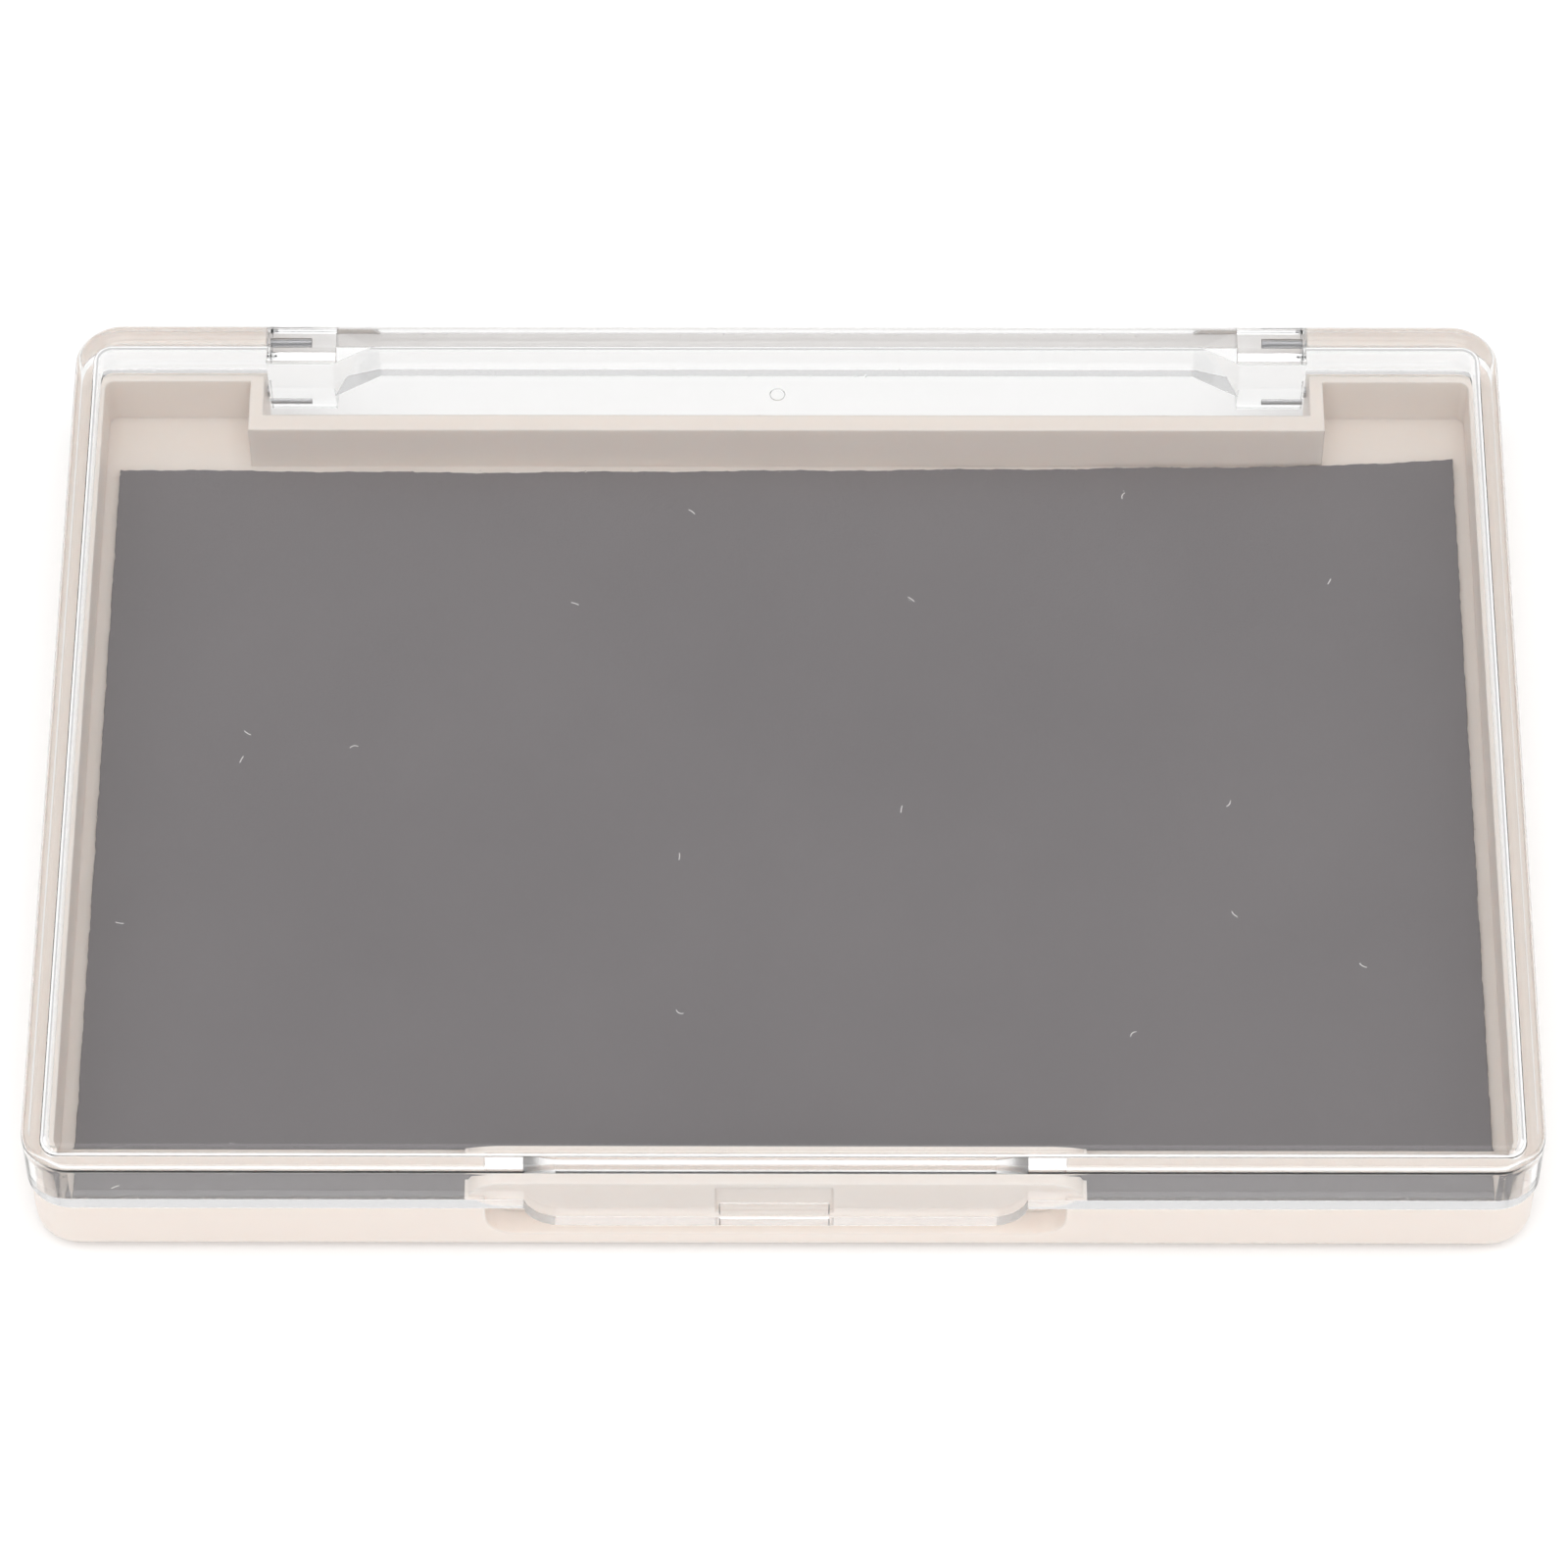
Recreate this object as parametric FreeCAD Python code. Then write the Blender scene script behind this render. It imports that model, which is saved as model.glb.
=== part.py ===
import FreeCAD, Part
import math
import os

# Flat hinged palette case: an opaque moulded tray, a clear lid that swings on two short
# steel pins at the back, and a magnetic sheet stuck to the tray floor.
# Millimetres. +X runs along the width, -Y is the front with the finger tab, +Z is up.
# The origin is on the table, under the middle of the case.

Vector = FreeCAD.Vector

# Overall sizes of the closed case
CASE_WIDTH = 155.0
CASE_DEPTH = 108.5
CASE_HEIGHT = 16.4
CORNER_R = 5.0

# Where the lid sits on the tray
LEDGE_HEIGHT = 8.8
SEAT_GAP = 0.2
LIP_GAP = 0.2
TRAY_INSET = 0.4

# Lid shell
LID_WALL = 1.8
LID_FRONT_WALL = 2.6
LID_BACK_WALL = 2.0
LID_PANEL = 1.6
LID_INNER_R = 2.0
LID_INNER_FILLET = 1.2
LID_TOP_FILLET = 0.8

# Tray shell
LIP_THICKNESS = 0.9
LIP_RISE = 2.2
BACK_LIP_SETBACK = 1.2
TRAY_INNER_R = 1.0
TRAY_FRONT_WALL = 2.1
TRAY_FOOT_FILLET = 2.3
FLOOR_TOP = 4.4
FLOOR_THICKNESS = 1.6
FOOT_RIM = 1.2
HOLLOW_CORNER_R = 1.5

# Finger tab on the lid and the scoop in the tray behind it, a little left of the middle
FRONT_OFFSET = -0.75
TAB_WIDTH = 51.6
TAB_DROP = 3.3
TAB_CORNER_R = 4.0
SCOOP_WIDTH = 59.4
SCOOP_BOTTOM = 3.4
SCOOP_CORNER_R = 3.0

# Latch block behind the lid's front wall, and the snap catch on the tab
LATCH_WIDTH = 63.6
LATCH_THICKNESS = 2.0
LATCH_RISE = 2.4
LATCH_CORNER_R = 4.0
LATCH_GAP = 0.5
CATCH_WIDTH = 11.2
CATCH_SHIFT = -0.15
CATCH_HEIGHT = 2.1
CATCH_PROUD = 0.15
CATCH_RISE = 0.4
RECESS_HEIGHT = 4.7
RECESS_DEPTH = 0.4
RECESS_MARGIN = 0.4

# Hinge: a gap through the tray's back edge, walled round inside, with two lugs in it
NOTCH_WIDTH = 114.4
NOTCH_DEPTH = 8.9
HINGE_SIDE_WALL = 1.5
HINGE_FRONT_WALL = 2.05
LUG_SIDE_GAP = 0.5
LUG_WIDTH = 7.2
LUG_DEPTH = 4.8
LUG_SHOULDER = 4.3
LUG_BLEND = 4.9
PIVOT_INSET = 1.9
PIVOT_DROP = 2.7
RELIEF_GAP = 0.25

# Hinge pins
PIN_DIAMETER = 1.2
PIN_IN_LUG = 4.4
PIN_IN_TRAY = 4.0
PIN_RUNNING_GAP = 0.05
PIN_END_GAP = 0.2

# Magnetic sheet and its adhesive
SHEET_THICKNESS = 0.6
FILM_THICKNESS = 0.1
SHEET_SIDE_GAP = 1.5
SHEET_FRONT_GAP = 0.2
SHEET_BACK_GAP = 0.6
SHEET_CORNER_R = 0.6
FILM_MARGIN = 0.3

# Mark left by the moulding gate under the lid's panel
GATE_DIAMETER = 1.6
GATE_DEPTH = 0.15
GATE_FROM_BACK = 9.0
GATE_OFFSET = -0.95

# Sizes that follow from the ones above
HALF_W = CASE_WIDTH / 2.0
HALF_D = CASE_DEPTH / 2.0
SKIRT_Z = LEDGE_HEIGHT + SEAT_GAP
PANEL_Z = CASE_HEIGHT - LID_PANEL
LIP_HALF_W = HALF_W - LID_WALL - LIP_GAP
TRAY_IN_W = LIP_HALF_W - LIP_THICKNESS
LID_IN_FRONT = -HALF_D + LID_FRONT_WALL
LID_IN_BACK = HALF_D - LID_BACK_WALL
LIP_BACK = LID_IN_BACK - LIP_GAP - BACK_LIP_SETBACK
LIP_FRONT = LID_IN_FRONT + LID_INNER_R + LIP_GAP
TRAY_IN_BACK = LIP_BACK - LIP_THICKNESS
LIP_HEIGHT = LEDGE_HEIGHT + LIP_RISE
LATCH_HEIGHT = LEDGE_HEIGHT + LATCH_RISE
FLOOR_BOTTOM = FLOOR_TOP - FLOOR_THICKNESS
LATCH_FRONT = LID_IN_FRONT + LATCH_GAP
CATCH_X = FRONT_OFFSET + CATCH_SHIFT
LATCH_BACK = LATCH_FRONT + LATCH_THICKNESS
TRAY_IN_FRONT = -HALF_D + TRAY_INSET + TRAY_FRONT_WALL
TAB_BOTTOM = SKIRT_Z - TAB_DROP
NOTCH_X = NOTCH_WIDTH / 2.0
NOTCH_FRONT = HALF_D - NOTCH_DEPTH
HINGE_X = NOTCH_X + HINGE_SIDE_WALL
HINGE_FRONT = NOTCH_FRONT - HINGE_FRONT_WALL
LUG_OUT = NOTCH_X - LUG_SIDE_GAP
LUG_IN = LUG_OUT - LUG_WIDTH
PIVOT_Y = HALF_D - PIVOT_INSET
PIVOT_Z = LEDGE_HEIGHT - PIVOT_DROP
RELIEF_R = math.hypot(PIVOT_INSET - TRAY_INSET, PIVOT_DROP) + RELIEF_GAP
PIN_R = PIN_DIAMETER / 2.0


def block(x0, x1, y0, y1, z0, z1):
    """Plain block between two corners."""
    return Part.makeBox(x1 - x0, y1 - y0, z1 - z0, Vector(x0, y0, z0))


def edges_along(shape, axis, keep=None):
    """Straight edges that run along one axis, optionally only those keep() accepts."""
    found = []
    for edge in shape.Edges:
        if not isinstance(edge.Curve, Part.Line):
            continue
        if abs(abs(edge.tangentAt(edge.FirstParameter).dot(axis)) - 1.0) > 1e-6:
            continue
        if keep is None or keep(edge.CenterOfMass):
            found.append(edge)
    return found


def round_upright(shape, radius, keep=None):
    """Round the upright edges of a block."""
    return shape.makeFillet(radius, edges_along(shape, Vector(0, 0, 1), keep))


def rounded_block(x0, x1, y0, y1, z0, z1, radius):
    """Block with its four upright edges rounded."""
    return round_upright(block(x0, x1, y0, y1, z0, z1), radius)


def fillet_level(shape, z, radius):
    """Fillet every edge that lies flat at one height."""
    edges = []
    for edge in shape.Edges:
        box = edge.BoundBox
        if abs(box.ZMin - z) < 1e-4 and abs(box.ZMax - z) < 1e-4:
            edges.append(edge)
    return shape.makeFillet(radius, edges)


def face_plate(centre, width, y0, y1, z0, z1, radius, upper):
    """Upright plate facing the front, its two upper or lower corners rounded."""
    plate = block(centre - width / 2, centre + width / 2, y0, y1, z0, z1)
    level = z1 if upper else z0
    corner = edges_along(plate, Vector(0, 1, 0), lambda c: abs(c.z - level) < 1e-4)
    return plate.makeFillet(radius, corner)


def rod(x0, x1, radius):
    """Round bar along X on the hinge axis."""
    start = min(x0, x1)
    return Part.makeCylinder(radius, abs(x1 - x0), Vector(start, PIVOT_Y, PIVOT_Z), Vector(1, 0, 0))


def tray_shell():
    """Outside of the tray, its lip, the inside space and the hollow underside."""
    side = HALF_W - TRAY_INSET
    end = HALF_D - TRAY_INSET
    outside = rounded_block(-side, side, -end, end, 0, LEDGE_HEIGHT, CORNER_R - TRAY_INSET)
    outside = fillet_level(outside, 0, TRAY_FOOT_FILLET)
    lip = block(-LIP_HALF_W, LIP_HALF_W, LIP_FRONT, LIP_BACK, FLOOR_TOP, LIP_HEIGHT)
    lip = round_upright(lip, LID_INNER_R - LIP_GAP, lambda c: c.y > 0)
    inside = rounded_block(-TRAY_IN_W, TRAY_IN_W, TRAY_IN_FRONT, TRAY_IN_BACK,
                           FLOOR_TOP, LIP_HEIGHT + 1, TRAY_INNER_R)
    return outside.fuse(lip).cut(inside).cut(underside_hollow())


def underside_hollow():
    """Space under the floor, kept clear of the walls round the hinge gap."""
    side = HALF_W - TRAY_INSET - TRAY_FOOT_FILLET - FOOT_RIM
    end = HALF_D - TRAY_INSET - TRAY_FOOT_FILLET - FOOT_RIM
    hollow = rounded_block(-side, side, -end, end, -1, FLOOR_BOTTOM, HOLLOW_CORNER_R)
    return hollow.cut(block(-HINGE_X, HINGE_X, HINGE_FRONT, HALF_D, -2, FLOOR_BOTTOM + 1))


def base_tray():
    """Opaque tray."""
    tray = tray_shell()
    hinge_box = block(-HINGE_X, HINGE_X, HINGE_FRONT, TRAY_IN_BACK + 0.2, FLOOR_BOTTOM, LIP_HEIGHT)
    tray = tray.fuse(hinge_box)
    tray = tray.fuse(latch_block())
    scoop = face_plate(FRONT_OFFSET, SCOOP_WIDTH, -HALF_D - 1, LATCH_FRONT, SCOOP_BOTTOM,
                       LATCH_HEIGHT + 1, SCOOP_CORNER_R, False)
    tray = tray.cut(scoop)
    tray = tray.cut(block(-NOTCH_X, NOTCH_X, NOTCH_FRONT, HALF_D + 1, -1, LIP_HEIGHT + 1))
    tray = tray.cut(catch_recess())
    for side in (-1, 1):
        end = NOTCH_X + PIN_IN_TRAY + PIN_END_GAP
        tray = tray.cut(rod(side * (NOTCH_X - 1), side * end, PIN_R + PIN_RUNNING_GAP))
    return tray.removeSplitter()


def latch_block():
    """Upright block the finger tab closes against, rooted in the tray's front wall."""
    left = FRONT_OFFSET - LATCH_WIDTH / 2
    right = FRONT_OFFSET + LATCH_WIDTH / 2
    root = block(left, right, TRAY_IN_FRONT - 0.2, LATCH_BACK, FLOOR_BOTTOM, LEDGE_HEIGHT)
    plate = face_plate(FRONT_OFFSET, LATCH_WIDTH, LATCH_FRONT, LATCH_BACK, FLOOR_BOTTOM,
                       LATCH_HEIGHT, LATCH_CORNER_R, True)
    return root.fuse(plate)


def catch_recess():
    """Shallow pocket in the latch block behind the snap catch."""
    half = CATCH_WIDTH / 2 + RECESS_MARGIN
    low = TAB_BOTTOM + CATCH_RISE - RECESS_MARGIN
    return block(CATCH_X - half, CATCH_X + half, LATCH_FRONT - 1, LATCH_FRONT + RECESS_DEPTH,
                 low, low + RECESS_HEIGHT)


def lid_shell():
    """Clear cover: flat panel with a skirt all round."""
    outside = rounded_block(-HALF_W, HALF_W, -HALF_D, HALF_D, SKIRT_Z, CASE_HEIGHT, CORNER_R)
    outside = fillet_level(outside, CASE_HEIGHT, LID_TOP_FILLET)
    side = HALF_W - LID_WALL
    inside = rounded_block(-side, side, LID_IN_FRONT, LID_IN_BACK, SKIRT_Z - 1, PANEL_Z, LID_INNER_R)
    inside = fillet_level(inside, PANEL_Z, LID_INNER_FILLET)
    return outside.cut(inside)


def lid_tab():
    """Finger tab: the stretch of the front wall that runs on below the skirt."""
    return face_plate(FRONT_OFFSET, TAB_WIDTH, -HALF_D, LID_IN_FRONT, TAB_BOTTOM, LIP_HEIGHT,
                      TAB_CORNER_R, False)


def hinge_lug(side):
    """One thick end of the lid's back wall, blended into the thin middle."""
    front = HALF_D - LUG_DEPTH
    shoulder = PIVOT_Z + LUG_SHOULDER
    down = Vector(0, PIVOT_Y, PIVOT_Z - PIVOT_INSET)
    fore = Vector(0, PIVOT_Y - PIVOT_INSET, PIVOT_Z)
    corners = [Vector(0, HALF_D, PIVOT_Z), Vector(0, HALF_D, PANEL_Z + 0.2),
               Vector(0, front, PANEL_Z + 0.2), Vector(0, front, shoulder), fore]
    lines = [Part.makeLine(a, b) for a, b in zip(corners, corners[1:])]
    elbow = math.sqrt(0.5) * PIVOT_INSET
    fore_arc = Part.Arc(fore, Vector(0, PIVOT_Y - elbow, PIVOT_Z - elbow), down).toShape()
    back_arc = Part.Arc(down, Vector(0, PIVOT_Y + elbow, PIVOT_Z - elbow), corners[0]).toShape()
    face = Part.Face(Part.Wire(lines + [fore_arc, back_arc]))
    face.translate(Vector(LUG_IN, 0, 0))
    lug = face.extrude(Vector(LUG_WIDTH, 0, 0))
    lug = lug.fuse(lug_blend())
    if side < 0:
        lug = lug.mirror(Vector(0, 0, 0), Vector(1, 0, 0))
    return lug


def lug_blend():
    """Wedge between the lug's front face and the thin part of the back wall."""
    front = HALF_D - LUG_DEPTH
    root = LID_IN_BACK + 0.2
    points = [Vector(LUG_IN, front, SKIRT_Z), Vector(LUG_IN, root, SKIRT_Z),
              Vector(LUG_IN - LUG_BLEND, root, SKIRT_Z), Vector(LUG_IN - LUG_BLEND, LID_IN_BACK, SKIRT_Z)]
    face = Part.Face(Part.makePolygon(points + [points[0]]))
    return face.extrude(Vector(0, 0, PANEL_Z + 0.2 - SKIRT_Z))


def clear_lid():
    """Transparent lid with its tab, catch and hinge lugs."""
    lid = lid_shell().fuse(lid_tab())
    for side in (-1, 1):
        clear_of_lug = (LUG_OUT + NOTCH_X) / 2
        lid = lid.cut(rod(side * clear_of_lug, side * (HALF_W + 1), RELIEF_R))
        lid = lid.fuse(hinge_lug(side))
        lid = lid.cut(rod(side * (LUG_OUT - PIN_IN_LUG), side * (LUG_OUT + 0.1), PIN_R))
    low = TAB_BOTTOM + CATCH_RISE
    catch = block(CATCH_X - CATCH_WIDTH / 2, CATCH_X + CATCH_WIDTH / 2,
                  LID_IN_FRONT - 0.1, LID_IN_FRONT + CATCH_PROUD, low, low + CATCH_HEIGHT)
    gate_centre = Vector(GATE_OFFSET, HALF_D - GATE_FROM_BACK, PANEL_Z - 1)
    gate = Part.makeCylinder(GATE_DIAMETER / 2, GATE_DEPTH + 1, gate_centre)
    return lid.fuse(catch).cut(gate).removeSplitter()


def hinge_pin(side):
    """Short steel pin, pressed into the lid's lug and turning in the tray."""
    return rod(side * (LUG_OUT - PIN_IN_LUG), side * (NOTCH_X + PIN_IN_TRAY), PIN_R)


def floor_layer(z0, thickness, margin, radius):
    """Flat layer on the tray floor."""
    side = TRAY_IN_W - SHEET_SIDE_GAP - margin
    front = LATCH_BACK + SHEET_FRONT_GAP + margin
    back = HINGE_FRONT - SHEET_BACK_GAP - margin
    return rounded_block(-side, side, front, back, z0, z0 + thickness, radius)


def build():
    """Every piece of the case, by name."""
    return {
        "base_tray": base_tray(),
        "clear_lid": clear_lid(),
        "hinge_pin_left": hinge_pin(-1),
        "hinge_pin_right": hinge_pin(1),
        "adhesive_film": floor_layer(FLOOR_TOP, FILM_THICKNESS, FILM_MARGIN, SHEET_CORNER_R),
        "magnetic_sheet": floor_layer(FLOOR_TOP + FILM_THICKNESS, SHEET_THICKNESS, 0, SHEET_CORNER_R),
    }


def as_solid(shape):
    """The one solid in a shape."""
    return shape.Solids[0] if len(shape.Solids) == 1 else shape


os.makedirs("parts", exist_ok=True)
for name, shape in build().items():
    as_solid(shape).exportStep("parts/" + name + ".step")
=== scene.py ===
import math

import bmesh
import bpy
from mathutils import Matrix, Vector


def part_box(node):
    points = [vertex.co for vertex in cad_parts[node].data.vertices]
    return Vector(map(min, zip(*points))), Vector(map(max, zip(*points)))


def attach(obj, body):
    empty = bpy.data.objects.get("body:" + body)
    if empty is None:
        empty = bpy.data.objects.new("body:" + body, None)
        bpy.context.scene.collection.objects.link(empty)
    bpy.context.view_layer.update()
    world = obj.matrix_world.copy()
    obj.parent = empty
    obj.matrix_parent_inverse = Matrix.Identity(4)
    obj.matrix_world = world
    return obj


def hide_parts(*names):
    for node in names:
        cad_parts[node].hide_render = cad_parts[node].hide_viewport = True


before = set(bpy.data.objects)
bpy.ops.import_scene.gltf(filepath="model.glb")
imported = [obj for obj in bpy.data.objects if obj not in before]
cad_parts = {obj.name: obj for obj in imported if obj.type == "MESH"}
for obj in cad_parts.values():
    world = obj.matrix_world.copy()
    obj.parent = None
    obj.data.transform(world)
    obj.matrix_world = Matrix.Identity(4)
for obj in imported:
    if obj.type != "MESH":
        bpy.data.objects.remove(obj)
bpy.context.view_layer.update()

MM = 0.001


# ---------------------------------------------------------------- sizes of the studio

# The camera, seen from the middle of the case's foot
VIEW_PITCH = math.radians(55.5)
VIEW_YAW = math.radians(-0.46)
VIEW_ROLL = math.radians(-0.306)
VIEW_DISTANCE = 808.1 * MM
VIEW_AIM_RIGHT = -0.12 * MM
VIEW_AIM_UP = 3.73 * MM
LENS_MM = 173.3
SENSOR_MM = 36.0
CLIP_START = 0.01
CLIP_END = 20.0

# The white surroundings, and each lamp's name, place, width in metres and power in watts
FLOOR_SIZE = 6.0
SURROUNDINGS_STRENGTH = 0.7
LAMPS = [
    ("light_top", (0.0, -0.2, 1.2), 0.9, 4.2),
    ("light_front", (0.0, -1.0, 0.75), 1.0, 3.5),
    ("light_left", (-1.1, 0.0, 0.7), 0.8, 2.1),
    ("light_right", (1.1, 0.0, 0.7), 0.8, 2.1),
]
WHITE = (1, 1, 1, 1)
FLOOR_WHITE = (0.97, 0.97, 0.97, 1)
FLOOR_ROUGHNESS = 0.9
FLOOR_SHINE = 0.1


# ---------------------------------------------------------------- sizes of the hand-cut sheet

# Its back edge: x, and how far behind the CAD edge the cut runs there, both in mm
SHEET_BACK_LINE = [(-73.0, -0.41), (-35.0, -0.75), (30.0, -0.15), (59.0, 0.3), (66.0, 0.7), (73.2, 1.3)]
SHEET_EDGE_STEP = 0.5 * MM

# How far its edges are rounded over, and the share of that at the upper edge's middle ring
SHEET_EDGE_ROUND = 0.12 * MM
SHEET_EDGE_SHOULDER = 0.3

# The knife's unevenness is a sum of waves: share, radians per metre, and phase
SHEET_EDGE_ROUGH = 0.06 * MM
SHEET_EDGE_WAVES = [(0.45, 4700, 0.0), (0.45, 2900, 2.2), (0.6, 1130, 1.3), (1.0, 310, 4.1)]


# ---------------------------------------------------------------- sizes of the finishes

# Colours are linear, and densities are in blobs, lines or cells per metre. A relief is a
# bump's strength and its depth, and a roughness pair is the lowest and the highest.

# Spans of a noise: nearly all its values, and the middle of them
WIDE = (0.3, 0.7)
MIDDLE = (0.35, 0.65)

TRAY_DARK = (0.770, 0.692, 0.636, 1)
TRAY_LIGHT = (0.778, 0.702, 0.647, 1)
TRAY_SPECK = (0.72, 0.61, 0.54, 1)
TRAY_CLOUDS = 30.0
TRAY_SPECKS = 2600.0
TRAY_SPECK_SPAN = (0.76, 0.80)
TRAY_SPECK_STRENGTH = 0.4
TRAY_SHEEN_PATCHES = 140.0
TRAY_ROUGHNESS = (0.29, 0.36)
TRAY_GRAIN = 3200.0
TRAY_GRAIN_RELIEF = (0.12, 0.02 * MM)
TRAY_EDGE_ROUND = 0.35 * MM
TRAY_IOR = 1.5
TRAY_GLOW = 0.4
TRAY_GLOW_REACH = 2.5 * MM
TRAY_GLOW_COLOUR = (1.0, 0.8, 0.7)

LID_TINT = (0.993, 0.995, 0.995, 1)
LID_SHADOW_TINT = (0.96, 0.963, 0.963, 1)
LID_IOR = 1.52
LID_SMUDGES = 90.0
LID_SMUDGE_SPAN = (0.55, 0.8)
LID_SMUDGE_ROUGHNESS = 0.03
LID_RUBS = 1400.0
LID_RUB_SPAN = (0.7, 0.82)
LID_RUB_ANGLE = -0.7
LID_RUB_STRETCH = 0.02
LID_RUB_ROUGHNESS = 0.05
LID_RIPPLES = 70.0
LID_RIPPLE_RELIEF = (0.12, 0.12 * MM)
LID_PITS = 1500.0
LID_PIT_SPAN = (0.72, 0.8)
LID_PIT_RELIEF = (0.2, 0.01 * MM)
LID_EDGE_ROUND = 0.2 * MM

# The finger tab goes on below the foot of the lid's skirt, and its end faces look sideways
TAB_TOP = 8.95 * MM
TAB_END_SLANT = 0.2
TAB_END_ROUGHNESS = 0.5

PIN_DARK = (0.50, 0.50, 0.52, 1)
PIN_LIGHT = (0.66, 0.66, 0.68, 1)
PIN_DRAW_LINES = (60.0, 9000.0, 9000.0)
PIN_ROUGHNESS = (0.22, 0.42)
PIN_RELIEF = (0.3, 0.01 * MM)

FILM_DARK = (0.66, 0.62, 0.57, 1)
FILM_LIGHT = (0.76, 0.73, 0.68, 1)
FILM_PATCHES = 400.0
FILM_ROUGHNESS = (0.35, 0.55)
FILM_RELIEF = (0.4, 0.02 * MM)

SHEET_DARK = (0.134, 0.120, 0.125, 1)
SHEET_LIGHT = (0.145, 0.130, 0.135, 1)
SHEET_FLECK = (0.20, 0.185, 0.188, 1)
SHEET_CLOUDS = 30.0
SHEET_GRAIN = 5200.0
SHEET_GRAIN_RELIEF = (0.25, 0.02 * MM)
SHEET_FLECK_SPAN = (0.55, 0.75)
SHEET_FLECK_STRENGTH = 0.5
SHEET_SHEEN_PATCHES = 120.0
SHEET_ROUGHNESS = (0.30, 0.40)
SHEET_ROLL_LINES = (25.0, 700.0, 1.0)
SHEET_ROLL_RELIEF = (0.12, 0.02 * MM)
SHEET_IOR = 1.5

LINT_COLOUR = (0.78, 0.76, 0.74, 1)
LINT_ROUGHNESS = 0.4
FIBRE_CELLS = 85.0
FIBRE_LENGTH = 0.9 * MM
FIBRE_WIDTH = 0.10 * MM
FIBRE_SHARE = 0.16
DUST_CELLS = 120.0
DUST_RADIUS = 0.08 * MM
DUST_SHARE = 0.2
FULL_TURN = 6.283

EDGE_SAMPLES = 6


# ---------------------------------------------------------------- node helpers

def new_material(name):
    """An empty node material with its Principled shader."""
    material = bpy.data.materials.new(name)
    material.use_nodes = True
    tree = material.node_tree
    return material, tree, tree.nodes["Principled BSDF"]


def fill(tree, node, **inputs):
    """Gives inputs their values or links, each input called by its name, or by its place as i0, i1."""
    for key, value in inputs.items():
        name = int(key[1:]) if key[0] == "i" and key[1:].isdigit() else key.replace("_", " ")
        socket = node.inputs[name]
        if isinstance(value, bpy.types.NodeSocket):
            tree.links.new(value, socket)
        else:
            socket.default_value = value


def add(tree, kind, settings=None, **inputs):
    """A node, with settings for its properties and values or links for its inputs."""
    node = tree.nodes.new(kind)
    for key, value in (settings or {}).items():
        setattr(node, key, value)
    fill(tree, node, **inputs)
    return node


def math_node(tree, operation, a, b=0.0):
    """One arithmetic step."""
    return add(tree, "ShaderNodeMath", {"operation": operation}, i0=a, i1=b).outputs[0]


def place(tree, stretch=(1.0, 1.0, 1.0)):
    """The piece's own coordinates, in metres, stretched along its axes."""
    coords = add(tree, "ShaderNodeTexCoord").outputs["Object"]
    return add(tree, "ShaderNodeMapping", Vector=coords, Scale=stretch).outputs["Vector"]


def noise(tree, vector, density, detail, roughness=0.5):
    """Smooth noise from 0 to 1."""
    node = add(tree, "ShaderNodeTexNoise", Vector=vector, Scale=density, Detail=detail, Roughness=roughness)
    return node.outputs["Fac"]


def remap(tree, value, span, result=(0.0, 1.0)):
    """A value moved from one span to another, and kept inside it."""
    node = add(tree, "ShaderNodeMapRange", i0=value, i1=span[0], i2=span[1], i3=result[0], i4=result[1])
    return node.outputs["Result"]


def blend_colours(tree, factor, first, second):
    """Colour between two colours or links."""
    return add(tree, "ShaderNodeMix", {"data_type": "RGBA"}, i0=factor, i6=first, i7=second).outputs[2]


def bump(tree, height, relief, normal=None):
    """Surface normal of a height map, laid over another normal if one is given."""
    node = add(tree, "ShaderNodeBump", Height=height, Strength=relief[0], Distance=relief[1])
    if normal is not None:
        fill(tree, node, Normal=normal)
    return node.outputs["Normal"]


def soft_edges(tree, radius):
    """Normal with the moulded edges eased by a radius."""
    return add(tree, "ShaderNodeBevel", {"samples": EDGE_SAMPLES}, Radius=radius).outputs["Normal"]


# ---------------------------------------------------------------- tray

def tray_plastic():
    """Glossy pale pink-beige moulding."""
    material, tree, shader = new_material("tray_plastic")
    coords = place(tree)
    cloud = remap(tree, noise(tree, coords, TRAY_CLOUDS, detail=2.0), WIDE)
    dots = noise(tree, coords, TRAY_SPECKS, detail=1.0)
    speck = remap(tree, dots, TRAY_SPECK_SPAN, (0.0, TRAY_SPECK_STRENGTH))
    body = blend_colours(tree, cloud, TRAY_DARK, TRAY_LIGHT)
    sheen = remap(tree, noise(tree, coords, TRAY_SHEEN_PATCHES, detail=3.0), WIDE, TRAY_ROUGHNESS)
    grain = noise(tree, coords, TRAY_GRAIN, detail=2.0)
    fill(tree, shader, Base_Color=blend_colours(tree, speck, body, TRAY_SPECK), Roughness=sheen,
         Normal=bump(tree, grain, TRAY_GRAIN_RELIEF, soft_edges(tree, TRAY_EDGE_ROUND)), IOR=TRAY_IOR,
         Subsurface_Weight=TRAY_GLOW, Subsurface_Radius=TRAY_GLOW_COLOUR, Subsurface_Scale=TRAY_GLOW_REACH)
    return material


# ---------------------------------------------------------------- lid

def rub_marks(tree):
    """Fine straight handling marks at one angle, from 0 to 1."""
    coords = add(tree, "ShaderNodeTexCoord").outputs["Object"]
    along = LID_RUBS * LID_RUB_STRETCH
    turned = add(tree, "ShaderNodeMapping", Vector=coords, Rotation=(0.0, 0.0, LID_RUB_ANGLE),
                 Scale=(LID_RUBS, along, along)).outputs["Vector"]
    return remap(tree, noise(tree, turned, density=1.0, detail=2.0, roughness=0.6), LID_RUB_SPAN)


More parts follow.
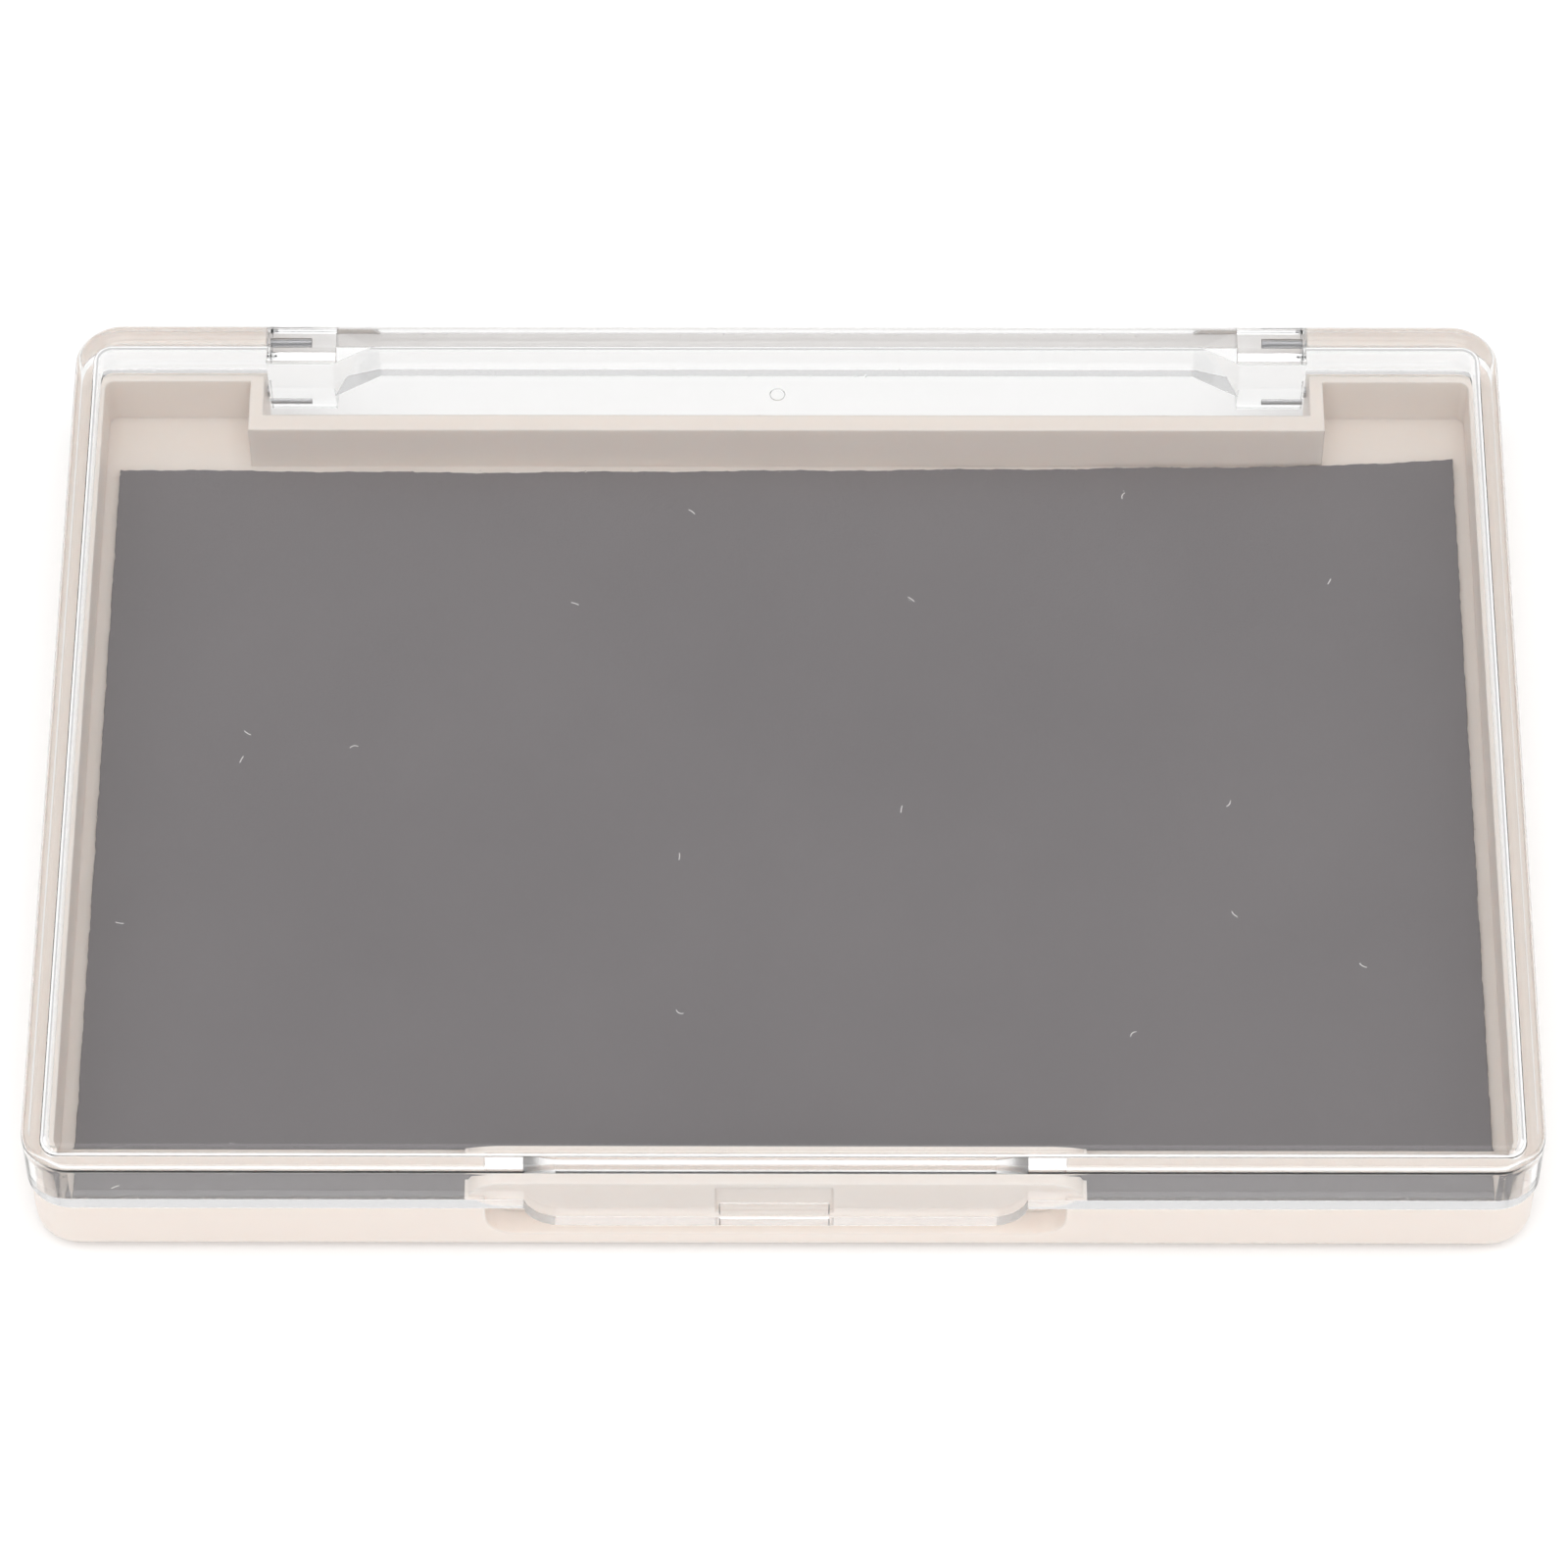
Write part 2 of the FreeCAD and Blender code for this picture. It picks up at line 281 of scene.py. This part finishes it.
def tab_ends(tree):
    """1 on the narrow end faces of the finger tab, which the mould leaves matt, and 0 elsewhere."""
    geometry = add(tree, "ShaderNodeNewGeometry")
    normal = add(tree, "ShaderNodeSeparateXYZ", Vector=geometry.outputs["Normal"])
    spot = add(tree, "ShaderNodeSeparateXYZ", Vector=place(tree))
    slant = math_node(tree, "ABSOLUTE", normal.outputs["X"])
    sideways = math_node(tree, "GREATER_THAN", slant, TAB_END_SLANT)
    low = math_node(tree, "LESS_THAN", spot.outputs["Z"], TAB_TOP)
    front = math_node(tree, "LESS_THAN", spot.outputs["Y"], 0.0)
    return math_node(tree, "MULTIPLY", math_node(tree, "MULTIPLY", sideways, low), front)


def lid_roughness(tree, coords):
    """Polish with faint smudges and rub marks, and the tab's matt ends."""
    smears = noise(tree, coords, LID_SMUDGES, detail=4.0, roughness=0.6)
    smudge = remap(tree, smears, LID_SMUDGE_SPAN, (0.0, LID_SMUDGE_ROUGHNESS))
    rubbed = math_node(tree, "MULTIPLY", rub_marks(tree), LID_RUB_ROUGHNESS)
    frosted = math_node(tree, "MULTIPLY", tab_ends(tree), TAB_END_ROUGHNESS)
    return math_node(tree, "MAXIMUM", math_node(tree, "ADD", smudge, rubbed), frosted)


def lid_normal(tree, coords):
    """Eased edges with faint flow ripples and a few pits."""
    ripples = noise(tree, coords, LID_RIPPLES, detail=2.0)
    pits = remap(tree, noise(tree, coords, LID_PITS, detail=1.0), LID_PIT_SPAN)
    flow = bump(tree, ripples, LID_RIPPLE_RELIEF, soft_edges(tree, LID_EDGE_ROUND))
    return bump(tree, pits, LID_PIT_RELIEF, flow)


def let_light_through(tree, shader):
    """Lets light reach what lies behind a clear wall."""
    open_air = add(tree, "ShaderNodeBsdfTransparent", Color=LID_SHADOW_TINT)
    path = add(tree, "ShaderNodeLightPath")
    both = add(tree, "ShaderNodeMixShader", i0=path.outputs["Is Shadow Ray"],
               i1=shader.outputs[0], i2=open_air.outputs[0])
    fill(tree, tree.nodes["Material Output"], Surface=both.outputs[0])


def clear_plastic():
    """Polished clear moulding."""
    material, tree, shader = new_material("clear_plastic")
    coords = place(tree)
    fill(tree, shader, Base_Color=LID_TINT, Roughness=lid_roughness(tree, coords),
         Normal=lid_normal(tree, coords), Transmission_Weight=1.0, IOR=LID_IOR)
    let_light_through(tree, shader)
    return material


# ---------------------------------------------------------------- pins and adhesive

def pin_steel():
    """Drawn steel wire."""
    material, tree, shader = new_material("pin_steel")
    grain = noise(tree, place(tree, PIN_DRAW_LINES), density=1.0, detail=3.0, roughness=0.6)
    fill(tree, shader, Base_Color=blend_colours(tree, remap(tree, grain, WIDE), PIN_DARK, PIN_LIGHT),
         Roughness=remap(tree, grain, WIDE, PIN_ROUGHNESS),
         Normal=bump(tree, grain, PIN_RELIEF), Metallic=1.0)
    return material


def adhesive():
    """Milky self-adhesive back of the sheet."""
    material, tree, shader = new_material("adhesive")
    patch = remap(tree, noise(tree, place(tree), FILM_PATCHES, detail=4.0), MIDDLE)
    fill(tree, shader, Base_Color=blend_colours(tree, patch, FILM_DARK, FILM_LIGHT),
         Roughness=remap(tree, patch, (0.0, 1.0), FILM_ROUGHNESS), Normal=bump(tree, patch, FILM_RELIEF))
    return material


# ---------------------------------------------------------------- magnetic sheet's finish

def cell_offset(tree, coords, density):
    """Where a point lies from the middle of its random cell, in metres, with the cell's random colour."""
    cell = add(tree, "ShaderNodeTexVoronoi", {"feature": "F1"}, Vector=coords, Scale=density)
    middle = cell.outputs["Position"]
    away = add(tree, "ShaderNodeVectorMath", {"operation": "SUBTRACT"}, i0=coords, i1=middle)
    chance = add(tree, "ShaderNodeSeparateColor", Color=cell.outputs["Color"])
    return away.outputs[0], chance.outputs


def fibres(tree, coords):
    """Short curled threads of lint, one in a share of the random cells."""
    away, chance = cell_offset(tree, coords, FIBRE_CELLS)
    angle = math_node(tree, "MULTIPLY", chance["Green"], FULL_TURN)
    turned = add(tree, "ShaderNodeVectorRotate", {"rotation_type": "Z_AXIS"}, Vector=away, Angle=angle)
    parts = add(tree, "ShaderNodeSeparateXYZ", Vector=turned.outputs[0])
    along = parts.outputs["X"]
    curl = remap(tree, chance["Blue"], (0.0, 1.0), (-1.0 / FIBRE_LENGTH, 1.0 / FIBRE_LENGTH))
    bent = math_node(tree, "MULTIPLY", math_node(tree, "MULTIPLY", along, along), curl)
    off = math_node(tree, "ABSOLUTE", math_node(tree, "SUBTRACT", parts.outputs["Y"], bent))
    thin = math_node(tree, "LESS_THAN", off, FIBRE_WIDTH / 2)
    short = math_node(tree, "LESS_THAN", math_node(tree, "ABSOLUTE", along), FIBRE_LENGTH / 2)
    chosen = math_node(tree, "LESS_THAN", chance["Red"], FIBRE_SHARE)
    return math_node(tree, "MULTIPLY", math_node(tree, "MULTIPLY", thin, short), chosen)


def dust(tree, coords):
    """Round grains, one in a share of the random cells."""
    away, chance = cell_offset(tree, coords, DUST_CELLS)
    reach = add(tree, "ShaderNodeVectorMath", {"operation": "LENGTH"}, i0=away).outputs["Value"]
    near = math_node(tree, "LESS_THAN", reach, DUST_RADIUS)
    chosen = math_node(tree, "LESS_THAN", chance["Red"], DUST_SHARE)
    return math_node(tree, "MULTIPLY", near, chosen)


def magnet_rubber():
    """Dark grey sheet with a satin face, faint calender lines and lint."""
    material, tree, shader = new_material("magnet_rubber")
    flat = place(tree, (1.0, 1.0, 0.0))
    cloud = remap(tree, noise(tree, flat, SHEET_CLOUDS, detail=4.0), MIDDLE)
    grain = noise(tree, flat, SHEET_GRAIN, detail=2.0)
    fleck = remap(tree, grain, SHEET_FLECK_SPAN, (0.0, SHEET_FLECK_STRENGTH))
    tone = blend_colours(tree, fleck, blend_colours(tree, cloud, SHEET_DARK, SHEET_LIGHT), SHEET_FLECK)
    lint = math_node(tree, "MAXIMUM", fibres(tree, flat), dust(tree, flat))
    sheen = remap(tree, noise(tree, flat, SHEET_SHEEN_PATCHES, detail=4.0), WIDE, SHEET_ROUGHNESS)
    rolled = noise(tree, place(tree, SHEET_ROLL_LINES), density=1.0, detail=2.0)
    fine = bump(tree, grain, SHEET_GRAIN_RELIEF)
    fill(tree, shader, Base_Color=blend_colours(tree, lint, tone, LINT_COLOUR), IOR=SHEET_IOR,
         Roughness=math_node(tree, "ADD", sheen, math_node(tree, "MULTIPLY", lint, LINT_ROUGHNESS)),
         Normal=bump(tree, rolled, SHEET_ROLL_RELIEF, fine))
    return material


# ---------------------------------------------------------------- magnetic sheet's shape

def back_line(x):
    """How far the sheet's back edge runs behind its CAD edge at x, both in metres."""
    spans = list(zip(SHEET_BACK_LINE, SHEET_BACK_LINE[1:]))
    (x0, y0), (x1, y1) = next((span for span in spans if x <= span[1][0] * MM), spans[-1])
    t = min(1.0, max(0.0, (x / MM - x0) / (x1 - x0)))
    return (y0 + (y1 - y0) * t) * MM


def unevenness(s, side):
    """How far a knife cut strays, s metres along one of the sheet's sides."""
    waves = sum(share * math.sin((s + side) * rate + phase) for share, rate, phase in SHEET_EDGE_WAVES)
    return SHEET_EDGE_ROUGH * waves


def sheet_outline(low, high):
    """Points round the sheet, anticlockwise from the front left."""
    front_left, front_right = Vector((low.x, low.y)), Vector((high.x, low.y))
    back_left, back_right = Vector((low.x, high.y)), Vector((high.x, high.y))

    def climb(p):
        return back_line(p.x) * (p.y - low.y) / (high.y - low.y)

    sides = [
        (front_left, front_right, lambda p: (p.x, p.y + abs(unevenness(p.x, 0)))),
        (front_right, back_right, lambda p: (p.x - abs(unevenness(p.y, 1)), p.y + climb(p))),
        (back_right, back_left, lambda p: (p.x, p.y + back_line(p.x) + unevenness(p.x, 2))),
        (back_left, front_left, lambda p: (p.x + abs(unevenness(p.y, 3)), p.y + climb(p))),
    ]
    points = []
    for start, end, cut in sides:
        steps = max(2, int((end - start).length / SHEET_EDGE_STEP))
        points += [Vector(cut(start.lerp(end, i / steps))) for i in range(steps)]
    return points


def sheet_rings(low, high):
    """How far in and how high each ring of the sheet's edge lies, from the underside up."""
    full, part = SHEET_EDGE_ROUND, SHEET_EDGE_ROUND * SHEET_EDGE_SHOULDER
    return [(full, low.z), (0.0, low.z + full), (0.0, high.z - full), (part, high.z - part), (full, high.z)]


def sheet_mesh(low, high):
    """Closed mesh of the sheet, with a hand-cut outline and its edges eased."""
    outline = sheet_outline(low, high)
    middle = Vector(((low.x + high.x) / 2, (low.y + high.y) / 2))
    mesh = bmesh.new()
    loops = []
    for inset, z in sheet_rings(low, high):
        pulls = [Vector((math.copysign(inset, middle.x - p.x), math.copysign(inset, middle.y - p.y)))
                 for p in outline]
        loops.append([mesh.verts.new((p.x + pull.x, p.y + pull.y, z)) for p, pull in zip(outline, pulls)])
    for lower, upper in zip(loops, loops[1:]):
        for i in range(len(outline)):
            j = (i + 1) % len(outline)
            mesh.faces.new((lower[i], lower[j], upper[j], upper[i]))
    mesh.faces.new(loops[-1])
    mesh.faces.new(list(reversed(loops[0])))
    data = bpy.data.meshes.new("magnetic_sheet_cut")
    mesh.to_mesh(data)
    mesh.free()
    return data


def cut_sheet(material):
    """The magnetic sheet as it was cut by hand, stuck to the tray's floor."""
    data = sheet_mesh(*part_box("magnetic_sheet"))
    data.materials.append(material)
    piece = bpy.data.objects.new("magnetic_sheet_cut", data)
    bpy.context.scene.collection.objects.link(piece)
    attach(piece, "base")
    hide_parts("magnetic_sheet")


def paint(name, material):
    """Gives a CAD node its finish."""
    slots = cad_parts[name].data.materials
    slots.clear()
    slots.append(material)


# ---------------------------------------------------------------- studio

def floor():
    """Plain pale floor."""
    bpy.ops.mesh.primitive_plane_add(size=FLOOR_SIZE, location=(0, 0, 0))
    plane = bpy.context.object
    plane.name = "floor"
    material, tree, shader = new_material("floor_paper")
    fill(tree, shader, Base_Color=FLOOR_WHITE, Roughness=FLOOR_ROUGHNESS, Specular_IOR_Level=FLOOR_SHINE)
    plane.data.materials.append(material)


def softbox(name, spot, size, power):
    """Large square area light aimed at the case."""
    data = bpy.data.lights.new(name, "AREA")
    data.shape = "SQUARE"
    data.size = size
    data.energy = power
    lamp = bpy.data.objects.new(name, data)
    lamp.location = spot
    lamp.rotation_euler = (-Vector(spot)).to_track_quat("-Z", "Y").to_euler()
    bpy.context.scene.collection.objects.link(lamp)


def studio():
    """White surroundings with soft lights."""
    world = bpy.data.worlds.new("studio")
    world.use_nodes = True
    tree = world.node_tree
    fill(tree, tree.nodes["Background"], Color=WHITE, Strength=SURROUNDINGS_STRENGTH)
    bpy.context.scene.world = world
    for name, spot, size, power in LAMPS:
        softbox(name, spot, size, power)


def view_axes():
    """The camera's right, up and ahead directions."""
    ahead = Vector((math.sin(VIEW_YAW) * math.cos(VIEW_PITCH), math.cos(VIEW_YAW) * math.cos(VIEW_PITCH),
                    -math.sin(VIEW_PITCH)))
    level = Vector((math.cos(VIEW_YAW), -math.sin(VIEW_YAW), 0.0))
    upright = level.cross(ahead)
    right = level * math.cos(VIEW_ROLL) + upright * math.sin(VIEW_ROLL)
    up = upright * math.cos(VIEW_ROLL) - level * math.sin(VIEW_ROLL)
    return right, up, ahead


def camera():
    """Long lens, above the case's front and aimed down at it."""
    data = bpy.data.cameras.new("camera")
    data.lens = LENS_MM
    data.sensor_width = SENSOR_MM
    data.clip_start = CLIP_START
    data.clip_end = CLIP_END
    right, up, ahead = view_axes()
    eye = right * VIEW_AIM_RIGHT + up * VIEW_AIM_UP - ahead * VIEW_DISTANCE
    body = bpy.data.objects.new("camera", data)
    body.matrix_world = Matrix.Translation(eye) @ Matrix((right, up, -ahead)).transposed().to_4x4()
    bpy.context.scene.collection.objects.link(body)
    bpy.context.scene.camera = body


# ---------------------------------------------------------------- the scene

steel = pin_steel()
rubber = magnet_rubber()
paint("base_tray", tray_plastic())
paint("clear_lid", clear_plastic())
paint("hinge_pin_left", steel)
paint("hinge_pin_right", steel)
paint("adhesive_film", adhesive())
paint("magnetic_sheet", rubber)
cut_sheet(rubber)

floor()
studio()
camera()
bpy.context.scene.view_settings.view_transform = "Standard"
